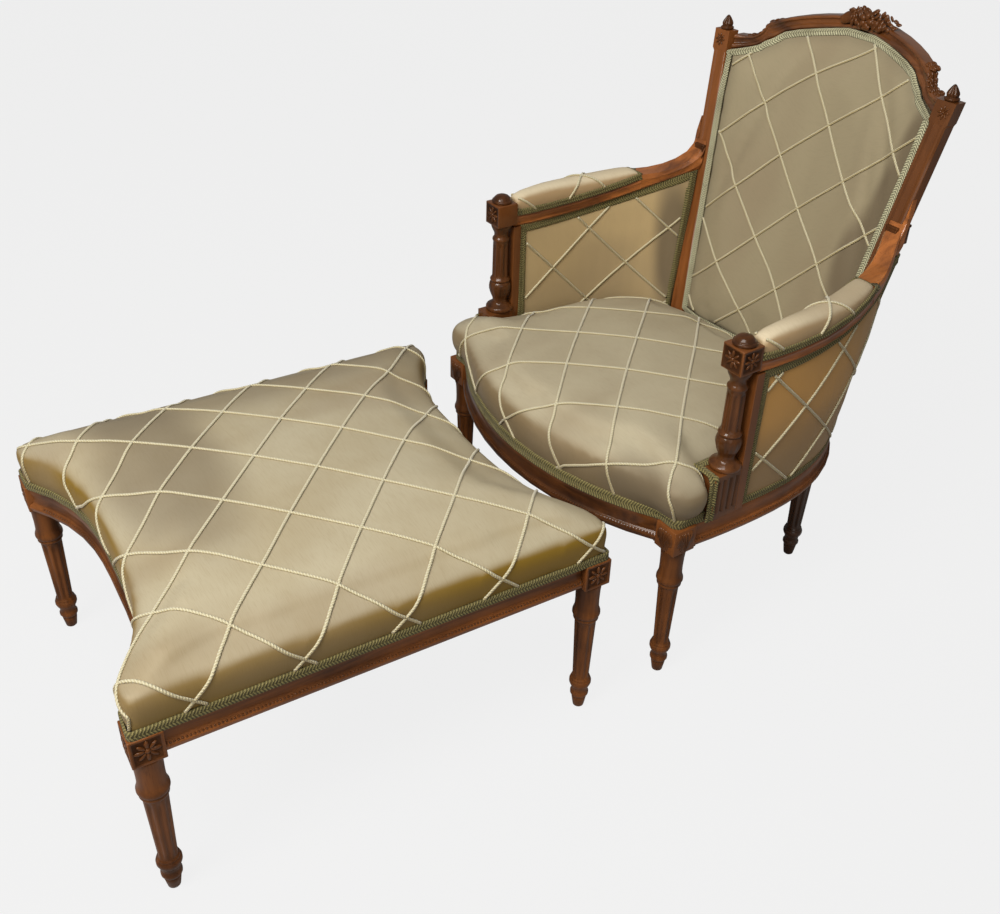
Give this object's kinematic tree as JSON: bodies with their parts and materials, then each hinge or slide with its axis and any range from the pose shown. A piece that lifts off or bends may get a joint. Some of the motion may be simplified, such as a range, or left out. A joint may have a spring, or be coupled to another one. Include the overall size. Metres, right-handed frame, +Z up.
{
  "type": "armchair and footstool",
  "caption": "Carved walnut armchair with an arched padded back, padded arms and fluted legs, and a matching footstool with hollowed ends.",
  "frame": {"origin": "centre of the footprint of armchair and footstool together, on the floor", "axes": "+Z up, -Y the way the armchair faces and where the footstool stands, +X to the right seen from behind the footstool"},
  "size_m": [0.7828, 1.662, 1.0719],
  "materials": {
    "walnut": "polished reddish brown walnut",
    "satin": "taupe satin over padding",
    "jute": "woven jute webbing",
    "steel": "plain spring wire"
  },
  "bodies": {
    "root": {"arm_board_left": "walnut", "arm_board_right": "walnut", "arm_inner_panel_left": "satin", "arm_inner_panel_right": "satin", "arm_outer_panel_left": "satin", "arm_outer_panel_right": "satin", "arm_pad_left": "satin", "arm_pad_right": "satin", "arm_plinth_left": "walnut", "arm_plinth_right": "walnut", "arm_post_left": "walnut", "arm_post_right": "walnut", "arm_rail_left": "walnut", "arm_rail_right": "walnut", "back_cross_rail": "walnut", "back_cushion": "satin", "chair_back_rail": "walnut", "chair_front_leg_left": "walnut", "chair_front_leg_right": "walnut", "chair_front_rail": "walnut", "chair_side_rail_left": "walnut", "chair_side_rail_right": "walnut", "crest_carving": "walnut", "finial_left": "walnut", "finial_right": "walnut", "outer_back_panel": "satin", "rear_upright_left": "walnut", "rear_upright_right": "walnut", "seat_spring_1": "steel", "seat_spring_2": "steel", "seat_spring_3": "steel", "seat_spring_4": "steel", "seat_upholstery": "satin", "seat_webbing": "jute", "stool_end_rail_far": "walnut", "stool_end_rail_near": "walnut", "stool_far_leg_left": "walnut", "stool_far_leg_right": "walnut", "stool_near_leg_left": "walnut", "stool_near_leg_right": "walnut", "stool_side_rail_left": "walnut", "stool_side_rail_right": "walnut", "stool_spring_1": "steel", "stool_spring_2": "steel", "stool_spring_3": "steel", "stool_spring_4": "steel", "stool_upholstery": "satin", "stool_webbing": "jute", "top_rail": "walnut"}
  },
  "joints": []
}
